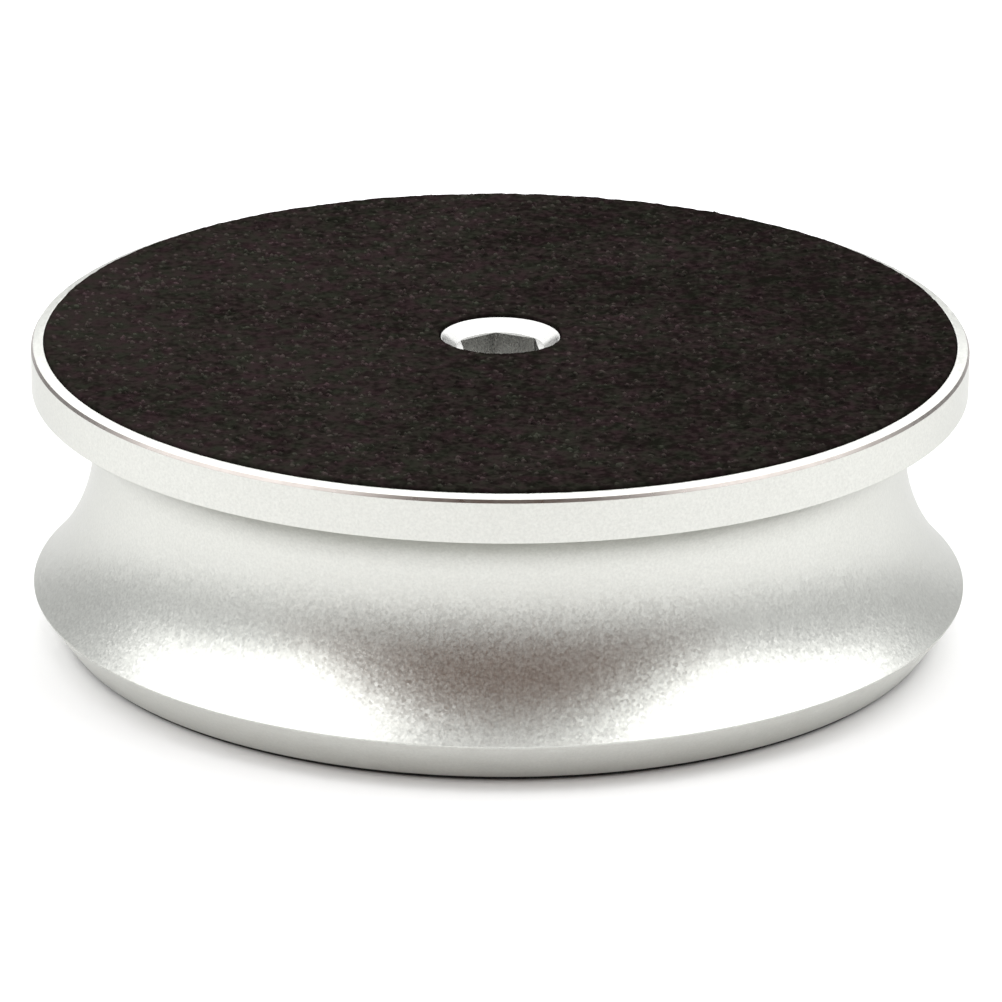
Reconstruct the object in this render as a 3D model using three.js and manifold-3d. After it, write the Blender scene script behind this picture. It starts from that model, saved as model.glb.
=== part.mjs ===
// Turntable display stand. A suede-faced platter turns on a ball bearing inside a heavy waisted base.
// Millimetres, +Z up, with the origin at the centre of the face that the stand rests on.

import * as THREE from 'three';
import { mergeVertices } from 'three/addons/utils/BufferGeometryUtils.js';
import Module from 'manifold-3d';

const wasm = await Module();
wasm.setup();

// ---- Driving dimensions -------------------------------------------------------------------------

const RADIUS = 50; // of the platter and of the base's lower edge
const METAL_TOP = 32.2;
const PLATTER_THICKNESS = 5;
const RUNNING_GAP = 0.5; // between the platter and the base
const METAL_BOTTOM = 0.5; // the base pad lifts the metal this far off the table
const BOTTOM_RADIUS = 46.7; // of the base's lower rim

// The waist is an arc, turned about the stand's axis. At its narrowest a tighter arc takes over, and
// flares out under the platter.
const WAIST_ARC = { r: 65.95, z: 21, radius: 22.5 };
const NECK_RADIUS = 6.5;
const LOWER_EDGE_LAND = 0.16;

// The land round the pad falls outwards to a narrow bevel.
const RIM = { fall: 0.3, bevelWidth: 0.25, bevelDepth: 0.3 };

const PAD = { radius: 48.6, hole: 6.5, thickness: 1.3, proud: 0.4 };
const ADHESIVE_THICKNESS = 0.2;
const BASE_PAD = { radius: 46.2, thickness: 1.3 };
const SLIP = 0.05; // radial room round a disc laid in a recess
const FILM_INSET = 1; // the adhesive stops this far inside its pad's edges

const SCREW = { head: 6.4, headLength: 6.9, shank: 5, end: 7.4, lead: 0.6 };
const DISH = { outer: 6.3, inner: 4.65, depth: 1.15 };
const SOCKET = { acrossFlats: 8, depth: 6.1, turn: 36.5 };
const HUB = { shoulder: 11, shoulderLength: 2.6, spigot: 9.96, spigotEnd: 18, room: 0.15 };

// A shielded deep-groove bearing, 20 x 32 x 7.
const BEARING = {
  bore: 10,
  outside: 15.98,
  width: 7,
  bottom: 17.6,
  pitch: 13,
  innerLand: 11.7,
  outerLand: 14.3,
  shieldSeat: 14.7,
  groove: 1.85,
};
const BALL = { radius: 1.75, count: 11 };
const CAGE = { inner: 12.35, outer: 13.65, height: 5, pocket: 1.9 };
const SHIELD = { inner: 11.95, outer: 14.65, thickness: 0.3, inset: 0.45 };

const WELL = { radius: 14, seat: 16.02, groove: 16.9, grooveHeight: 1.3 };
const RETAINING_RING = {
  outer: 16.85,
  inner: 13.9,
  height: 1.2,
  opening: 44, // degrees
  lug: 12, // inner reach of the lugs
  lugWidth: 13, // degrees
  lugHole: 0.9,
  holeCircle: 13.8,
};
const SPRING_WASHER = { inner: 5.3, outer: 8.8, thickness: 2.2, split: 7 }; // degrees parted
const CLAMP_WASHER = { inner: 5.2, outer: 11.4, thickness: 2 };
const NUT = { acrossFlats: 16, height: 5, bore: 5.05 };

const COVER = { radius: 21.5, thickness: 1.5 };
const COVER_SCREW = {
  count: 4,
  circle: 17.8,
  head: 2.8,
  shank: 1.5,
  end: 9.3,
  flats: 2,
  socket: 1.1,
  sunk: 0.1, // head below the cover's face
  room: 0.15, // round the screw in the cover
};
const TAPPED_HOLE = { radius: 1.6, end: 10 };

// Facets round a full turn, and steps along the curved profiles.
const BODY_FACETS = 64;
const BEARING_FACETS = 40;
const SMALL_FACETS = 16;
const BALL_FACETS = 12;
const BALL_ROWS = 8; // of facets, from a ball's top to its bottom
const GROOVE_STEPS = 4;
const WAIST_STEPS = 8;
const NECK_STEPS = 5;

const EDGE_BREAK = 0.3;
const THIN_EDGE_BREAK = 0.2;
const SHARP_EDGE_BREAK = 0.1;
const FIRST_SCREW = Math.PI / 4; // the cover screws' first place round the axis
const CUT = 1; // how far a cutter runs past the face it opens
const MERGE_DISTANCE = 1e-5; // corners this close become one

// ---- Heights worked out from the driving dimensions ---------------------------------------------

const PLATTER_BOTTOM = METAL_TOP - PLATTER_THICKNESS;
const BASE_TOP = PLATTER_BOTTOM - RUNNING_GAP;
const PAD_TOP = METAL_TOP + PAD.proud;
const PAD_BOTTOM = PAD_TOP - PAD.thickness;
const PLATTER_RECESS = PAD_BOTTOM - ADHESIVE_THICKNESS;
const HEAD_BOTTOM = METAL_TOP - SCREW.headLength;

const BEARING_TOP = BEARING.bottom + BEARING.width;
const BEARING_MIDDLE = BEARING.bottom + BEARING.width / 2;
const CLAMP_BOTTOM = BEARING.bottom - CLAMP_WASHER.thickness;
const SPRING_BOTTOM = CLAMP_BOTTOM - SPRING_WASHER.thickness;
const NUT_BOTTOM = SPRING_BOTTOM - NUT.height;

const BASE_RECESS = BASE_PAD.thickness + ADHESIVE_THICKNESS;
const COVER_TOP = BASE_RECESS + COVER.thickness;

// ---- Materials ----------------------------------------------------------------------------------

const FINISHES = {
  satinAluminium: { color: 0xd4d4d0, roughness: 0.4, metalness: 1 },
  suede: { color: 0x2a2725, roughness: 0.95, metalness: 0 },
  blackRubber: { color: 0x1c1c1c, roughness: 0.85, metalness: 0 },
  adhesive: { color: 0xb9b39c, roughness: 0.6, metalness: 0 },
  bearingSteel: { color: 0xb9bcbf, roughness: 0.25, metalness: 1 },
  blackSteel: { color: 0x2c2c2e, roughness: 0.5, metalness: 1 },
  zincSteel: { color: 0xa9adb0, roughness: 0.4, metalness: 1 },
  nylon: { color: 0xd8cfb4, roughness: 0.55, metalness: 0 },
};

// ---- Shape helpers ------------------------------------------------------------------------------

// A point of a profile: r from the stand's axis, z up.
const at = (r, z) => new THREE.Vector2(r, z);

// Turns a closed profile, listed anticlockwise in r and z, about Z.
function turned(profile, facets) {
  const startsOnAxis = profile[0].x === 0;
  const points = startsOnAxis ? profile : [...profile, profile[0]];
  return new THREE.LatheGeometry(points, facets).rotateX(Math.PI / 2);
}

// Points along an arc of a profile, with both ends. Angles are in radians from +r towards +z.
function arc(centre, radius, from, to, steps) {
  return Array.from({ length: steps + 1 }, (_, i) => {
    const angle = from + ((to - from) * i) / steps;
    return at(centre.x + radius * Math.cos(angle), centre.y + radius * Math.sin(angle));
  });
}

// A flat ring or, with no inner radius, a disc, with its outer edges broken.
function ring(inner, outer, bottom, top, edge, facets) {
  return turned(
    [
      at(inner, bottom),
      at(outer - edge, bottom),
      at(outer, bottom + edge),
      at(outer, top - edge),
      at(outer - edge, top),
      at(inner, top),
    ],
    facets,
  );
}

// An unbroken disc or ring, for thin films.
function film(inner, outer, bottom, top, facets) {
  return turned([at(inner, bottom), at(outer, bottom), at(outer, top), at(inner, top)], facets);
}

// A hexagonal bar along Z, with a corner turned from +X by an angle in degrees.
function hexBar(acrossFlats, bottom, top, turn = 0) {
  const corner = acrossFlats / 2 / Math.cos(Math.PI / 6);
  return new THREE.CylinderGeometry(corner, corner, top - bottom, 6)
    .rotateX(Math.PI / 2)
    .rotateZ(THREE.MathUtils.degToRad(90 + turn))
    .translate(0, 0, (top + bottom) / 2);
}

// Repeats a cutter evenly round the stand's axis.
function aroundAxis(geometry, count, firstAngle = 0) {
  return Array.from({ length: count }, (_, i) =>
    geometry.clone().rotateZ(firstAngle + (2 * Math.PI * i) / count),
  );
}

// A closed geometry becomes a solid that can be cut and joined.
function solid(geometry) {
  const bare = geometry.clone();
  bare.deleteAttribute('normal');
  bare.deleteAttribute('uv');
  const merged = mergeVertices(bare, MERGE_DISTANCE);
  return new wasm.Manifold(
    new wasm.Mesh({
      numProp: 3,
      vertProperties: new Float32Array(merged.attributes.position.array),
      triVerts: new Uint32Array(merged.index.array),
    }),
  );
}

function toGeometry(manifold) {
  const mesh = manifold.getMesh();
  const geometry = new THREE.BufferGeometry();
  geometry.setAttribute('position', new THREE.BufferAttribute(mesh.vertProperties, 3));
  geometry.setIndex(new THREE.BufferAttribute(mesh.triVerts, 1));
  geometry.computeVertexNormals();
  return geometry;
}

function cutFrom(geometry, cutters) {
  const result = cutters.reduce((body, cutter) => body.subtract(solid(cutter)), solid(geometry));
  return toGeometry(result);
}

function piece(name, geometry, finish) {
  const mesh = new THREE.Mesh(geometry, new THREE.MeshStandardMaterial(FINISHES[finish]));
  mesh.name = name;
  return mesh;
}

// ---- Platter and what turns with it -------------------------------------------------------------

// A disc with a recess for the pad, on a hub that fills the bearing's bore. The pivot screw's head sits
// in a counterbore that opens through the recess.
function platter() {
  const recess = PAD.radius + SLIP;
  const shoulderBottom = PLATTER_BOTTOM - HUB.shoulderLength;
  const bore = SCREW.shank + HUB.room;
  const counterbore = SCREW.head + SLIP;
  const profile = [
    at(bore, HUB.spigotEnd),
    at(HUB.spigot - EDGE_BREAK, HUB.spigotEnd),
    at(HUB.spigot, HUB.spigotEnd + EDGE_BREAK),
    at(HUB.spigot, shoulderBottom),
    at(HUB.shoulder, shoulderBottom),
    at(HUB.shoulder, PLATTER_BOTTOM),
    at(RADIUS - SHARP_EDGE_BREAK, PLATTER_BOTTOM),
    at(RADIUS, PLATTER_BOTTOM + SHARP_EDGE_BREAK),
    at(RADIUS, METAL_TOP - RIM.fall - RIM.bevelDepth),
    at(RADIUS - RIM.bevelWidth, METAL_TOP - RIM.fall),
    at(recess, METAL_TOP),
    at(recess, PLATTER_RECESS),
    at(counterbore, PLATTER_RECESS),
    at(counterbore, HEAD_BOTTOM),
    at(bore, HEAD_BOTTOM),
  ];
  return turned(profile, BODY_FACETS);
}

// Its round head is dished, and a hexagon socket opens from the bottom of the dish.
function pivotScrew() {
  const dishBottom = METAL_TOP - DISH.depth;
  const blank = turned(
    [
      at(0, SCREW.end),
      at(SCREW.shank - SCREW.lead, SCREW.end),
      at(SCREW.shank, SCREW.end + SCREW.lead),
      at(SCREW.shank, HEAD_BOTTOM),
      at(SCREW.head, HEAD_BOTTOM),
      at(SCREW.head, METAL_TOP - SCREW.head + DISH.outer),
      at(DISH.outer, METAL_TOP),
      at(DISH.inner, dishBottom),
      at(0, dishBottom),
    ],
    BEARING_FACETS,
  );
  const socket = hexBar(SOCKET.acrossFlats, METAL_TOP - SOCKET.depth, METAL_TOP + CUT, SOCKET.turn);
  return cutFrom(blank, [socket]);
}

function clampWasher() {
  const { inner, outer } = CLAMP_WASHER;
  return ring(inner, outer, CLAMP_BOTTOM, BEARING.bottom, THIN_EDGE_BREAK, BEARING_FACETS);
}

function springWasher() {
  const halfSplit = THREE.MathUtils.degToRad(SPRING_WASHER.split / 2);
  const outline = new THREE.Shape();
  outline.absarc(0, 0, SPRING_WASHER.outer, halfSplit, 2 * Math.PI - halfSplit, false);
  outline.absarc(0, 0, SPRING_WASHER.inner, 2 * Math.PI - halfSplit, halfSplit, true);
  return new THREE.ExtrudeGeometry(outline, {
    depth: SPRING_WASHER.thickness,
    bevelEnabled: false,
    curveSegments: BEARING_FACETS,
  }).translate(0, 0, SPRING_BOTTOM);
}

// The corners of the hexagon are turned away at both faces.
function lockNut() {
  const corner = NUT.acrossFlats / 2 / Math.cos(Math.PI / 6);
  const face = NUT.acrossFlats / 2 - THIN_EDGE_BREAK;
  const slope = (corner - face) * Math.tan(Math.PI / 6);
  const barrel = turned(
    [
      at(0, NUT_BOTTOM),
      at(face, NUT_BOTTOM),
      at(corner, NUT_BOTTOM + slope),
      at(corner, SPRING_BOTTOM - slope),
      at(face, SPRING_BOTTOM),
      at(0, SPRING_BOTTOM),
    ],
    BEARING_FACETS,
  );
  const thread = film(0, NUT.bore, NUT_BOTTOM - CUT, SPRING_BOTTOM + CUT, BEARING_FACETS);
  const bar = solid(hexBar(NUT.acrossFlats, NUT_BOTTOM, SPRING_BOTTOM));
  return toGeometry(bar.intersect(solid(barrel)).subtract(solid(thread)));
}

// ---- Bearing ------------------------------------------------------------------------------------

// Half the angle that a ball groove spans where it meets a ring's land.
function grooveHalfAngle(land) {
  return Math.acos(Math.abs(land - BEARING.pitch) / BEARING.groove);
}

function bearingInnerRing() {
  const { bore, bottom, innerLand, pitch, groove } = BEARING;
  const half = grooveHalfAngle(innerLand);
  const profile = [
    at(bore, bottom + EDGE_BREAK),
    at(bore + EDGE_BREAK, bottom),
    at(innerLand, bottom),
    ...arc(at(pitch, BEARING_MIDDLE), groove, Math.PI + half, Math.PI - half, GROOVE_STEPS),
    at(innerLand, BEARING_TOP),
    at(bore + EDGE_BREAK, BEARING_TOP),
    at(bore, BEARING_TOP - EDGE_BREAK),
  ];
  return turned(profile, BEARING_FACETS);
}

// Each end is stepped to hold a shield.
function bearingOuterRing() {
  const { outside, bottom, outerLand, shieldSeat, pitch, groove } = BEARING;
  const half = grooveHalfAngle(outerLand);
  const stepDepth = SHIELD.inset + SHIELD.thickness + SLIP;
  const profile = [
    at(shieldSeat, bottom),
    at(outside - EDGE_BREAK, bottom),
    at(outside, bottom + EDGE_BREAK),
    at(outside, BEARING_TOP - EDGE_BREAK),
    at(outside - EDGE_BREAK, BEARING_TOP),
    at(shieldSeat, BEARING_TOP),
    at(shieldSeat, BEARING_TOP - stepDepth),
    at(outerLand, BEARING_TOP - stepDepth),
    ...arc(at(pitch, BEARING_MIDDLE), groove, half, -half, GROOVE_STEPS),
    at(outerLand, bottom + stepDepth),
    at(shieldSeat, bottom + stepDepth),
  ];
  return turned(profile, BEARING_FACETS);
}

function bearingShield(top) {
  return film(SHIELD.inner, SHIELD.outer, top - SHIELD.thickness, top, BEARING_FACETS);
}

function bearingCage() {
  const bottom = BEARING_MIDDLE - CAGE.height / 2;
  const top = BEARING_MIDDLE + CAGE.height / 2;
  const blank = film(CAGE.inner, CAGE.outer, bottom, top, BEARING_FACETS);
  const pocket = new THREE.CylinderGeometry(CAGE.pocket, CAGE.pocket, 2 * BALL.radius, BALL_FACETS);
  pocket.rotateZ(Math.PI / 2).translate(BEARING.pitch, 0, BEARING_MIDDLE);
  return cutFrom(blank, aroundAxis(pocket, BALL.count));
}

function bearingBalls() {
  const geometry = new THREE.SphereGeometry(BALL.radius, BALL_FACETS, BALL_ROWS);
  return Array.from({ length: BALL.count }, (_, i) => {
    const angle = (2 * Math.PI * i) / BALL.count;
    const ball = piece(`bearing_ball_${i + 1}`, geometry, 'bearingSteel');
    ball.position.set(BEARING.pitch * Math.cos(angle), BEARING.pitch * Math.sin(angle), BEARING_MIDDLE);
    return ball;
  });
}

// ---- Base and what stays still ------------------------------------------------------------------

// The waist from the lower edge up to the top face, as points of the body's profile.
function waistProfile() {
  const { r, z, radius } = WAIST_ARC;
  const lowerEdge = Math.PI + Math.acos((r - RADIUS) / radius);
  const topEdge = Math.PI - Math.asin((BASE_TOP - EDGE_BREAK - z) / NECK_RADIUS);
  const lower = arc(at(r, z), radius, lowerEdge, Math.PI, WAIST_STEPS);
  const neck = arc(at(r - radius + NECK_RADIUS, z), NECK_RADIUS, Math.PI, topEdge, NECK_STEPS);
  return [...lower, ...neck.slice(1)];
}

// A turned body: bevelled rim, sharp lower edge, concave waist, and a stepped well down its middle for
// the bearing, its retaining ring, the nut and the bottom cover.
function baseBody() {
  const waist = waistProfile();
  const lowerEdge = waist[0].y;
  const ringGroove = BEARING_TOP + WELL.grooveHeight;
  const padRecess = BASE_PAD.radius + SLIP;
  const coverRecess = COVER.radius + SLIP;
  const profile = [
    at(WELL.radius, COVER_TOP),
    at(coverRecess, COVER_TOP),
    at(coverRecess, BASE_RECESS),
    at(padRecess, BASE_RECESS),
    at(padRecess, METAL_BOTTOM),
    at(BOTTOM_RADIUS, METAL_BOTTOM),
    at(RADIUS, lowerEdge - LOWER_EDGE_LAND),
    ...waist,
    at(waist[waist.length - 1].x - EDGE_BREAK, BASE_TOP),
    at(WELL.seat, BASE_TOP),
    at(WELL.seat, ringGroove),
    at(WELL.groove, ringGroove),
    at(WELL.groove, BEARING_TOP),
    at(WELL.seat, BEARING_TOP),
    at(WELL.seat, BEARING.bottom),
    at(WELL.radius, BEARING.bottom),
  ];
  const tappedHole = film(0, TAPPED_HOLE.radius, COVER_TOP - CUT, TAPPED_HOLE.end, SMALL_FACETS);
  tappedHole.translate(COVER_SCREW.circle, 0, 0);
  return cutFrom(turned(profile, BODY_FACETS), aroundAxis(tappedHole, COVER_SCREW.count, FIRST_SCREW));
}

// An open snap ring with a holed lug at each end, for closing it with pliers.
function retainingRing() {
  const { outer, inner, lug, lugHole, holeCircle, height } = RETAINING_RING;
  const lugAngle = THREE.MathUtils.degToRad(RETAINING_RING.lugWidth);
  const start = THREE.MathUtils.degToRad(RETAINING_RING.opening / 2);
  const end = 2 * Math.PI - start;
  const outline = new THREE.Shape();
  outline.absarc(0, 0, outer, start, end, false);
  outline.absarc(0, 0, lug, end, end - lugAngle, true);
  outline.absarc(0, 0, inner, end - lugAngle, start + lugAngle, true);
  outline.absarc(0, 0, lug, start + lugAngle, start, true);
  for (const angle of [start + lugAngle / 2, end - lugAngle / 2]) {
    const hole = new THREE.Path();
    const x = holeCircle * Math.cos(angle);
    const y = holeCircle * Math.sin(angle);
    hole.absarc(x, y, lugHole, 0, 2 * Math.PI, true);
    outline.holes.push(hole);
  }
  return new THREE.ExtrudeGeometry(outline, {
    depth: height,
    bevelEnabled: false,
    curveSegments: SMALL_FACETS,
  }).translate(0, 0, BEARING_TOP + (WELL.grooveHeight - height) / 2);
}

// A countersunk screw, head down, with a hexagon socket.
function coverScrew() {
  const { head, shank, end, flats, socket } = COVER_SCREW;
  const bottom = BASE_RECESS + COVER_SCREW.sunk;
  const blank = turned(
    [
      at(0, bottom),
      at(head, bottom),
      at(shank, bottom + head - shank),
      at(shank, end - EDGE_BREAK),
      at(shank - EDGE_BREAK, end),
      at(0, end),
    ],
    SMALL_FACETS,
  );
  return cutFrom(blank, [hexBar(flats, bottom - CUT, bottom + socket)]);
}

function coverScrews() {
  const geometry = coverScrew();
  return Array.from({ length: COVER_SCREW.count }, (_, i) => {
    const angle = FIRST_SCREW + (2 * Math.PI * i) / COVER_SCREW.count;
    const screw = piece(`cover_screw_${i + 1}`, geometry, 'blackSteel');
    screw.position.set(COVER_SCREW.circle * Math.cos(angle), COVER_SCREW.circle * Math.sin(angle), 0);
    return screw;
  });
}

// A disc with a countersunk hole for each cover screw.
function bottomCover() {
  const { head, shank, circle, count, room } = COVER_SCREW;
  const disc = ring(0, COVER.radius, BASE_RECESS, COVER_TOP, THIN_EDGE_BREAK, BEARING_FACETS);
  const hole = turned(
    [
      at(0, BASE_RECESS - CUT),
      at(head + room, BASE_RECESS - CUT),
      at(head + room, BASE_RECESS),
      at(shank + room, BASE_RECESS + head - shank),
      at(shank + room, COVER_TOP + CUT),
      at(0, COVER_TOP + CUT),
    ],
    SMALL_FACETS,
  ).translate(circle, 0, 0);
  return cutFrom(disc, aroundAxis(hole, count, FIRST_SCREW));
}

// ---- Pads ---------------------------------------------------------------------------------------

function pad() {
  return ring(PAD.hole, PAD.radius, PAD_BOTTOM, PAD_TOP, THIN_EDGE_BREAK, BODY_FACETS);
}

function padAdhesive() {
  const { hole, radius } = PAD;
  return film(hole + FILM_INSET, radius - FILM_INSET, PLATTER_RECESS, PAD_BOTTOM, BEARING_FACETS);
}

function basePad() {
  return ring(0, BASE_PAD.radius, 0, BASE_PAD.thickness, THIN_EDGE_BREAK, BODY_FACETS);
}

function basePadAdhesive() {
  return film(0, BASE_PAD.radius - FILM_INSET, BASE_PAD.thickness, BASE_RECESS, BEARING_FACETS);
}

// ---- Assembly -----------------------------------------------------------------------------------

const turningParts = new THREE.Group();
turningParts.add(
  piece('pad', pad(), 'suede'),
  piece('pad_adhesive', padAdhesive(), 'adhesive'),
  piece('platter', platter(), 'satinAluminium'),
  piece('pivot_screw', pivotScrew(), 'satinAluminium'),
  piece('bearing_inner_ring', bearingInnerRing(), 'bearingSteel'),
  piece('clamp_washer', clampWasher(), 'zincSteel'),
  piece('spring_washer', springWasher(), 'zincSteel'),
  piece('lock_nut', lockNut(), 'zincSteel'),
);

const ballCage = new THREE.Group();
ballCage.add(piece('bearing_cage', bearingCage(), 'nylon'), ...bearingBalls());

const stillParts = new THREE.Group();
stillParts.add(
  piece('base_body', baseBody(), 'satinAluminium'),
  piece('bearing_outer_ring', bearingOuterRing(), 'bearingSteel'),
  piece('bearing_shield_upper', bearingShield(BEARING_TOP - SHIELD.inset), 'zincSteel'),
  piece('bearing_shield_lower', bearingShield(BEARING.bottom + SHIELD.inset + SHIELD.thickness), 'zincSteel'),
  piece('retaining_ring', retainingRing(), 'blackSteel'),
  piece('bottom_cover', bottomCover(), 'satinAluminium'),
  ...coverScrews(),
  piece('base_pad_adhesive', basePadAdhesive(), 'adhesive'),
  piece('base_pad', basePad(), 'blackRubber'),
);

const turntableStand = new THREE.Group();
turntableStand.add(turningParts, ballCage, stillParts);

export default turntableStand;
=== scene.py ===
"""Turntable display stand: its looks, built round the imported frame. Shapes are in millimetres until they
become meshes, which are in metres, +Z up, in the frame's own place."""

import math
import random

import bmesh
import bpy
from mathutils import Matrix, Vector, noise


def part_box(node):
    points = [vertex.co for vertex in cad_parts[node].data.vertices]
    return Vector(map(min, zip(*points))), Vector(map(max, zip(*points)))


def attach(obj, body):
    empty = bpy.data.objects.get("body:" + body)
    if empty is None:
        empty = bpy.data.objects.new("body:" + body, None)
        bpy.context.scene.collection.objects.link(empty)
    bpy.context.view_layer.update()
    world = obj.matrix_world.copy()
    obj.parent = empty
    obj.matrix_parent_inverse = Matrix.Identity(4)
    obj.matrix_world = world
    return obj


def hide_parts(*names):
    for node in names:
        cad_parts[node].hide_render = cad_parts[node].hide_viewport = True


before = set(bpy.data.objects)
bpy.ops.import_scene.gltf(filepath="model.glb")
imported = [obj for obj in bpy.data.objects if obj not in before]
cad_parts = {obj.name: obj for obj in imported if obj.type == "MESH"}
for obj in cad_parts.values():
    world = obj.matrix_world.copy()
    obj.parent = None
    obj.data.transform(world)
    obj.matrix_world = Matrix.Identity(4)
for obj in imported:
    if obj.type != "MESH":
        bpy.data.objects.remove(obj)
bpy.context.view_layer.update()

MM = 0.001
TURN = 2 * math.pi

# Columns round a turned piece, by its size.
SEGMENTS = 288
HEAD_SEGMENTS = 240
RING_SEGMENTS = 192
WASHER_SEGMENTS = 96
SCREW_SEGMENTS = 48

ROUNDING_STEPS = 5
HOLD = 0.15  # distance in mm from a rounded corner to the loop that keeps the flat beside it flat
HOLD_SHARE = 0.2  # that distance's greatest share of the flat
SMOOTH_BELOW = 35  # an edge is sharp where its faces meet at more degrees than this
WELD_DISTANCE = 1e-7  # in metres


# ---- Sizes, from the frame -----------------------------------------------------------------------


def radius_of(node):
    """A node's outer radius in mm. The node is centred on the stand's axis."""
    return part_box(node)[1].x / MM


def bottom_of(node):
    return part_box(node)[0].z / MM


def top_of(node):
    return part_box(node)[1].z / MM


RADIUS = radius_of("platter")
METAL_TOP = top_of("platter")
PAD_RADIUS = radius_of("pad")
PAD_HOLE = 6.5
PAD_ROUNDING, PAD_HOLE_ROUNDING = 0.35, 0.2
SLIP = 0.05  # room round a disc laid in a recess
NAP_DEPTH = 0.26  # from the nap's highest places to the gaps in it
NAP_LUMP, NAP_CLUMP = 0.7, 2.4  # sizes of its lumps
NAP_SPACING = 0.5  # between the points that carry the nap
NAP_SEGMENTS = 560
TUFT_COUNT = 4400  # fibre tips that stand up from it, lighter: partly the fibre ends' own colour, partly painted light
TUFT_SIDES = 5
TUFT_WIDTH = (0.18, 0.38)  # least and greatest radius at the foot
TUFT_RISE = (-0.1, 0.22)  # least and greatest height of a tip over the nap's highest places
SCREW_HEAD = radius_of("pivot_screw")
HEAD_HEIGHT = 6.9
HEAD_TOP = top_of("pivot_screw")
HEAD_BOTTOM = HEAD_TOP - HEAD_HEIGHT
PLATTER_THICKNESS = 5
PLATTER_UNDERSIDE = METAL_TOP - PLATTER_THICKNESS
PLATTER_BORE, HUB_SHOULDER, SPIGOT = 5.15, 11, 9.96  # radii
RIM_FALL = 0.3  # the land round the pad falls outwards by this much
BEVEL_WIDTH, BEVEL_DEPTH = 0.22, 0.34
BASE_TOP = top_of("base_body")
BASE_CHAMFER = 0.3
WAIST_CENTRE = (65.95, 21)
WAIST_RADIUS = 22.5
NECK_RADIUS = 6.5  # above the narrowest place, the waist flares out on this tighter arc
BEARING_BOTTOM = bottom_of("bearing_outer_ring")
BEARING_TOP = top_of("bearing_outer_ring")
BEARING_MIDDLE = (BEARING_BOTTOM + BEARING_TOP) / 2
PITCH_RADIUS = 13
BALL_COUNT = 11
BALL_RADIUS = 1.75
GROOVE_RADIUS = 1.85
GROOVE_STEPS = 16
COVER_SCREW_COUNT = 4
SOCKET_TURN = math.radians(36.5)  # a corner of the pivot screw's socket, from +X
DISH_OUTER, DISH_INNER, DISH_DEPTH = 6.3, 4.65, 1.15  # the dish round that socket


# ---- Mesh helpers --------------------------------------------------------------------------------


def rounded(corners):
    """Rounds the corners of a closed outline. A corner is (r, z) if sharp, or (r, z, rounding)."""
    outline = []
    for index, (r, z, *rounding) in enumerate(corners):
        here = Vector((r, z))
        if not rounding:
            outline.append(here)
            continue
        radius = rounding[0]
        before = Vector(corners[index - 1][:2]) - here
        after = Vector(corners[(index + 1) % len(corners)][:2]) - here
        back, onward = before.normalized(), after.normalized()
        half_angle = before.angle(after) / 2
        reach = radius / math.tan(half_angle)
        centre = here + (back + onward).normalized() * (radius / math.sin(half_angle))
        start = here + back * reach - centre
        end = here + onward * reach - centre
        outline.append(here + back * (reach + min(HOLD, before.length * HOLD_SHARE)))
        for step in range(ROUNDING_STEPS + 1):
            outline.append(centre + radius * start.slerp(end, step / ROUNDING_STEPS))
        outline.append(here + onward * (reach + min(HOLD, after.length * HOLD_SHARE)))
    return outline


def ring_section(inner, outer, low, high, rounding):
    """The outline of a plain flat ring, with all four corners rounded alike."""
    corners = ((inner, low), (outer, low), (outer, high), (inner, high))
    return rounded([(*corner, rounding) for corner in corners])


def divided(outline, longest, above):
    """Splits an outline's long stretches above a height, so that the mesh can carry an uneven surface."""
    points = []
    for index, point in enumerate(outline):
        before = outline[index - 1]
        if min(before.y, point.y) > above:
            steps = math.ceil((point - before).length / longest)
            points += [before.lerp(point, step / steps) for step in range(1, steps)]
        points.append(point)
    return points


def arc(centre, radius, start, end, steps):
    """Points along an arc, (r, z) or (x, y). Angles are in degrees, from the first axis to the second."""
    points = []
    for step in range(steps + 1):
        angle = math.radians(start + (end - start) * step / steps)
        points.append((centre[0] + radius * math.cos(angle), centre[1] + radius * math.sin(angle)))
    return points


def new_object(name, data):
    obj = bpy.data.objects.new(name, data)
    bpy.context.scene.collection.objects.link(obj)
    return obj


def smooth(mesh):
    mesh.shade_smooth()
    mesh.set_sharp_from_angle(angle=math.radians(SMOOTH_BELOW))


def grid_mesh(name, columns, wraps=True, capped=False):
    """A mesh whose columns are closed loops of points in mm. The columns go round and meet, or are
    capped at both ends."""
    mesh = bpy.data.meshes.new(name)
    bm = bmesh.new()
    loops = [[bm.verts.new(Vector(point) * MM) for point in column] for column in columns]
    count = len(loops)
    for index in range(count if wraps else count - 1):
        here, there = loops[index], loops[(index + 1) % count]
        for k, vertex in enumerate(here):
            bm.faces.new((vertex, here[k - 1], there[k - 1], there[k]))
    if capped:
        bm.faces.new(loops[0])
        bm.faces.new(reversed(loops[-1]))
    bmesh.ops.remove_doubles(bm, verts=bm.verts, dist=WELD_DISTANCE)
    bmesh.ops.recalc_face_normals(bm, faces=bm.faces)
    bm.to_mesh(mesh)
    bm.free()
    smooth(mesh)
    return mesh


def turned(name, outline, segments=SEGMENTS, first_angle=0.0):
    """Turns an outline about Z. The outline is a list of (r, z) or a function of the angle."""
    columns = []
    for index in range(segments):
        angle = first_angle + TURN * index / segments
        points = outline(angle) if callable(outline) else outline
        columns.append([(r * math.cos(angle), r * math.sin(angle), z) for r, z in points])
    return new_object(name, grid_mesh(name, columns))


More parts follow.
